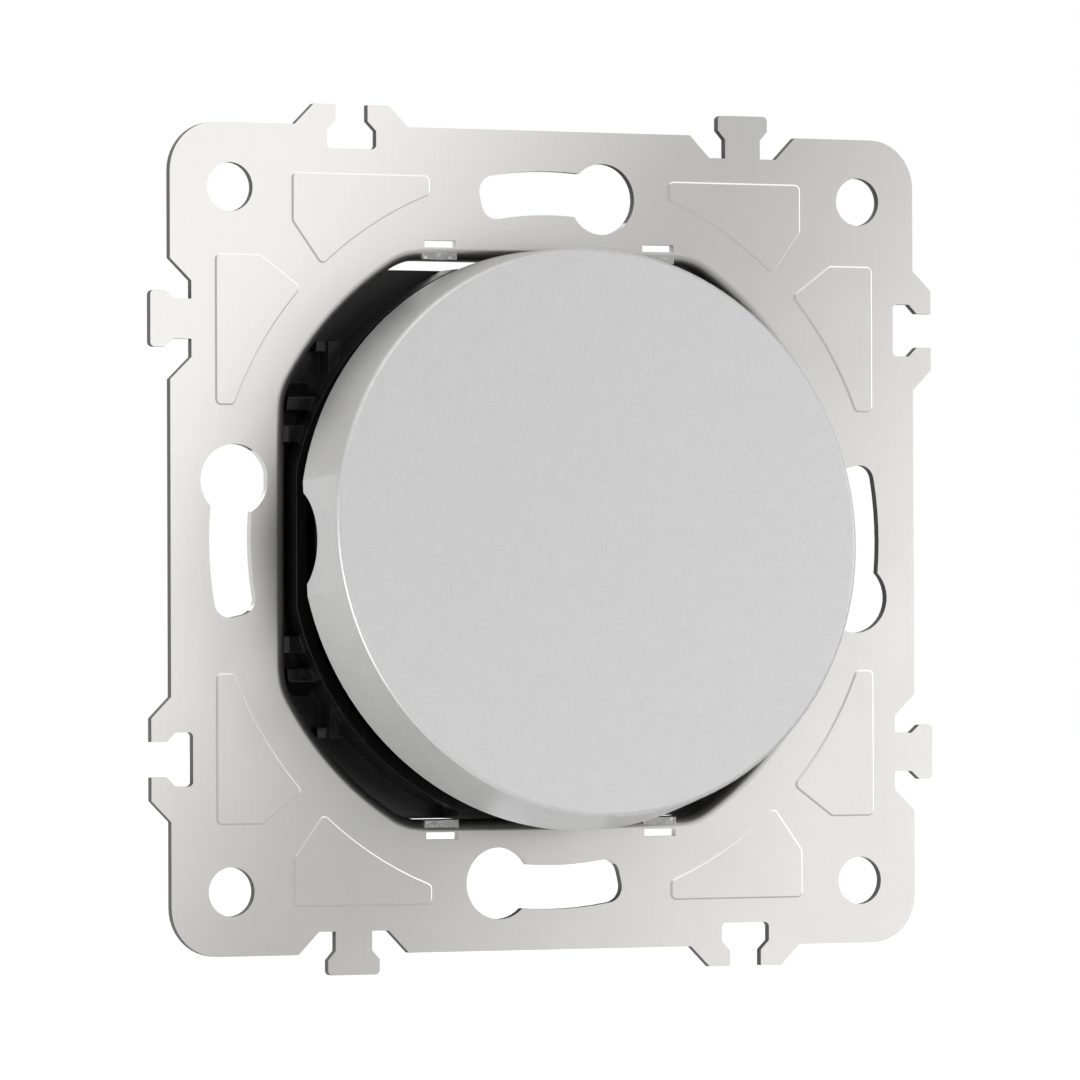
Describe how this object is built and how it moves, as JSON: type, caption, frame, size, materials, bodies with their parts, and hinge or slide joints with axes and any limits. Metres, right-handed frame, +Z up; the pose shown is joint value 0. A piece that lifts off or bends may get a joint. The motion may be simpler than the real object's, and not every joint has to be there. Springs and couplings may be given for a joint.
{
  "type": "intermediate light switch",
  "caption": "Flush intermediate light switch: round rocker on a square stamped mounting plate, with a moulded contact box and screw terminals behind.",
  "frame": {"origin": "centre of the mounting plate's back face, at the middle of its four corner screws", "axes": "+X to the right seen from the front, +Z up, +Y back into the wall box; the front faces -Y"},
  "size_m": [0.0746, 0.0348, 0.0746],
  "materials": {
    "plate_steel": "satin zinc-plated sheet",
    "black_moulding": "black moulded plastic",
    "black_housing": "black moulded plastic",
    "black_carrier": "black moulded plastic",
    "silver_cap": "silver metallic lacquer",
    "plunger_plastic": "natural acetal",
    "spring_steel": "spring wire",
    "contact_brass": "stamped brass",
    "contact_silver": "silver alloy",
    "clamp_steel": "zinc-plated",
    "screw_steel": "zinc-plated"
  },
  "bodies": {
    "base": {"mounting_strap": "plate_steel", "bearing_frame": "black_moulding", "base_housing": "black_housing", "feed_terminal_left": "contact_brass", "cross_link_left": "contact_brass", "fixed_studs_left": "contact_silver", "feed_terminal_right": "contact_brass", "cross_link_right": "contact_brass", "fixed_studs_right": "contact_silver"},
    "rocker": {"rocker_cap": "silver_cap", "rocker_carrier": "black_carrier", "plunger_spring_left": "spring_steel", "plunger_spring_right": "spring_steel"},
    "plunger_left": {"plunger_left": "plunger_plastic"},
    "seesaw_left": {"moving_contact_left": "contact_brass", "moving_studs_left": "contact_silver"},
    "clamp_lower_left": {"clamp_plate_lower_left": "clamp_steel"},
    "screw_lower_left": {"terminal_screw_lower_left": "screw_steel"},
    "clamp_upper_left": {"clamp_plate_upper_left": "clamp_steel"},
    "screw_upper_left": {"terminal_screw_upper_left": "screw_steel"},
    "plunger_right": {"plunger_right": "plunger_plastic"},
    "seesaw_right": {"moving_contact_right": "contact_brass", "moving_studs_right": "contact_silver"},
    "clamp_lower_right": {"clamp_plate_lower_right": "clamp_steel"},
    "screw_lower_right": {"terminal_screw_lower_right": "screw_steel"},
    "clamp_upper_right": {"clamp_plate_upper_right": "clamp_steel"},
    "screw_upper_right": {"terminal_screw_upper_right": "screw_steel"}
  },
  "joints": [
    {"name": "rocker_tilt", "type": "hinge", "parent": "base", "child": "rocker", "pos_m": [0, -0.0045, 0], "axis": [1, 0, 0], "range_deg": [0, 11]},
    {"name": "plunger_left_slide", "type": "slide", "parent": "rocker", "child": "plunger_left", "axis": [0, -0.9954, 0.0958], "range_m": [0, 0.0008], "stiffness_N_per_m": 300, "springref_m": -0.002, "deforming": ["plunger_spring_left"]},
    {"name": "seesaw_left_tip", "type": "hinge", "parent": "base", "child": "seesaw_left", "pos_m": [-0.0065, 0.01385, 0], "axis": [1, 0, 0], "range_deg": [-10, 0]},
    {"name": "clamp_lower_left_slide", "type": "slide", "parent": "base", "child": "clamp_lower_left", "axis": [0, 0, -1], "range_m": [0, 0.0024]},
    {"name": "screw_lower_left_turn", "type": "hinge", "parent": "clamp_lower_left", "child": "screw_lower_left", "pos_m": [-0.0108, 0.0122, -0.0177], "axis": [0, 0, -1], "range_deg": [0, 1440]},
    {"name": "clamp_upper_left_slide", "type": "slide", "parent": "base", "child": "clamp_upper_left", "axis": [0, 0, 1], "range_m": [0, 0.0024]},
    {"name": "screw_upper_left_turn", "type": "hinge", "parent": "clamp_upper_left", "child": "screw_upper_left", "pos_m": [-0.0108, 0.0122, 0.0177], "axis": [0, 0, 1], "range_deg": [0, 1440]},
    {"name": "plunger_right_slide", "type": "slide", "parent": "rocker", "child": "plunger_right", "axis": [0, -0.9954, 0.0958], "range_m": [0, 0.0008], "stiffness_N_per_m": 300, "springref_m": -0.002, "deforming": ["plunger_spring_right"]},
    {"name": "seesaw_right_tip", "type": "hinge", "parent": "base", "child": "seesaw_right", "pos_m": [0.0065, 0.01385, 0], "axis": [1, 0, 0], "range_deg": [-10, 0]},
    {"name": "clamp_lower_right_slide", "type": "slide", "parent": "base", "child": "clamp_lower_right", "axis": [0, 0, -1], "range_m": [0, 0.0024]},
    {"name": "screw_lower_right_turn", "type": "hinge", "parent": "clamp_lower_right", "child": "screw_lower_right", "pos_m": [0.0108, 0.0122, -0.0177], "axis": [0, 0, -1], "range_deg": [0, 1440]},
    {"name": "clamp_upper_right_slide", "type": "slide", "parent": "base", "child": "clamp_upper_right", "axis": [0, 0, 1], "range_m": [0, 0.0024]},
    {"name": "screw_upper_right_turn", "type": "hinge", "parent": "clamp_upper_right", "child": "screw_upper_right", "pos_m": [0.0108, 0.0122, 0.0177], "axis": [0, 0, 1], "range_deg": [0, 1440]}
  ],
  "couplings": [
    {"joint": "seesaw_left_tip", "follows": "rocker_tilt", "ratio": -0.90909},
    {"joint": "screw_lower_left_turn", "follows": "clamp_lower_left_slide", "rad_per_m": 10472},
    {"joint": "screw_upper_left_turn", "follows": "clamp_upper_left_slide", "rad_per_m": 10472},
    {"joint": "seesaw_right_tip", "follows": "rocker_tilt", "ratio": -0.90909},
    {"joint": "screw_lower_right_turn", "follows": "clamp_lower_right_slide", "rad_per_m": 10472},
    {"joint": "screw_upper_right_turn", "follows": "clamp_upper_right_slide", "rad_per_m": 10472}
  ]
}
